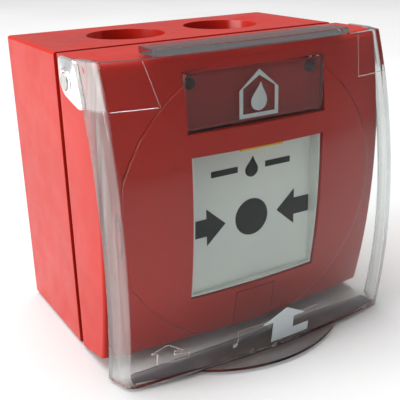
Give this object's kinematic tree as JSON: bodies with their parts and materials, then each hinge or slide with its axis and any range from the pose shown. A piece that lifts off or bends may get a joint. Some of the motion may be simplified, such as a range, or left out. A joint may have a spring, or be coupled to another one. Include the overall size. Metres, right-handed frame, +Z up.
{
  "type": "manual call point",
  "caption": "Wall-mounted manual fire alarm call point: deep surface box with conduit entries, bowed front housing, press element and clear hinged cover.",
  "frame": {"origin": "centre of the back box's wall face", "axes": "+Y out of the wall face into the wall, so the front faces -Y; +X to the right seen from the front; +Z up"},
  "size_m": [0.0964, 0.0805, 0.0882],
  "materials": {
    "red_casing": "satin moulded",
    "seal": "matt",
    "clear_cover": "clear polished",
    "tinted_pane": "clear tinted",
    "white_plate": "satin",
    "black_ink": "printed",
    "grey_ink": "printed",
    "black_plastic": "moulded",
    "yellow_flag": "moulded",
    "lamp_lens": "tinted",
    "dark_plate": "matt",
    "zinc_screw": "zinc plated",
    "spring_steel": "bright",
    "board_green": "solder mask",
    "chip_black": "moulded",
    "terminal_green": "moulded",
    "brass_clamp": "plated"
  },
  "bodies": {
    "station": {"back_box": "red_casing", "box_gasket": "seal", "front_housing": "red_casing", "key_guide": "red_casing", "hinge_pins": "zinc_screw", "indicator_window": "tinted_pane", "pictogram": "grey_ink", "lamp_backing": "dark_plate", "lamp_board": "board_green", "status_leds": "lamp_lens", "mechanism_chassis": "black_plastic", "chassis_screws": "zinc_screw", "housing_screws": "zinc_screw", "lever_pin": "spring_steel", "circuit_board": "board_green", "board_screws": "zinc_screw", "board_components": "chip_black", "microswitch_body": "chip_black", "microswitch_pins": "brass_clamp", "terminal_block": "terminal_green", "terminal_clamps": "brass_clamp", "terminal_screws": "zinc_screw", "return_springs": "spring_steel"},
    "cover": {"clear_cover": "clear_cover", "lift_arrow": "grey_ink"},
    "element": {"element_plate": "white_plate", "element_print": "black_ink", "element_carrier": "black_plastic"},
    "flag": {"status_flag": "yellow_flag"},
    "lever": {"switch_lever": "yellow_flag"},
    "plunger": {"switch_plunger": "lamp_lens"},
    "cam": {"reset_cam": "black_plastic"}
  },
  "joints": [
    {"name": "cover_lift", "type": "hinge", "parent": "station", "child": "cover", "pos_m": [0, -0.051, 0.0375], "axis": [-1, 0, 0], "range_deg": [0, 90]},
    {"name": "element_press", "type": "slide", "parent": "station", "child": "element", "axis": [0, 1, 0], "range_m": [0, 0.0022], "stiffness_N_per_m": 1500, "springref_m": -0.002, "deforming": ["return_springs"]},
    {"name": "flag_drop", "type": "slide", "parent": "station", "child": "flag", "axis": [0, 0, -1], "range_m": [0, 0.004]},
    {"name": "lever_swing", "type": "hinge", "parent": "station", "child": "lever", "pos_m": [0, -0.0518, -0.002], "axis": [1, 0, 0], "range_deg": [0, 7]},
    {"name": "plunger_push", "type": "slide", "parent": "station", "child": "plunger", "axis": [0, 1, 0], "range_m": [0, 0.0007]},
    {"name": "reset_turn", "type": "hinge", "parent": "station", "child": "cam", "pos_m": [0, -0.052, -0.034], "axis": [0, 0, 1], "range_deg": [0, 90]}
  ],
  "couplings": [
    {"joint": "flag_drop", "follows": "element_press", "ratio": 1.8},
    {"joint": "lever_swing", "follows": "element_press", "rad_per_m": 54.5},
    {"joint": "plunger_push", "follows": "element_press", "ratio": 0.31}
  ]
}
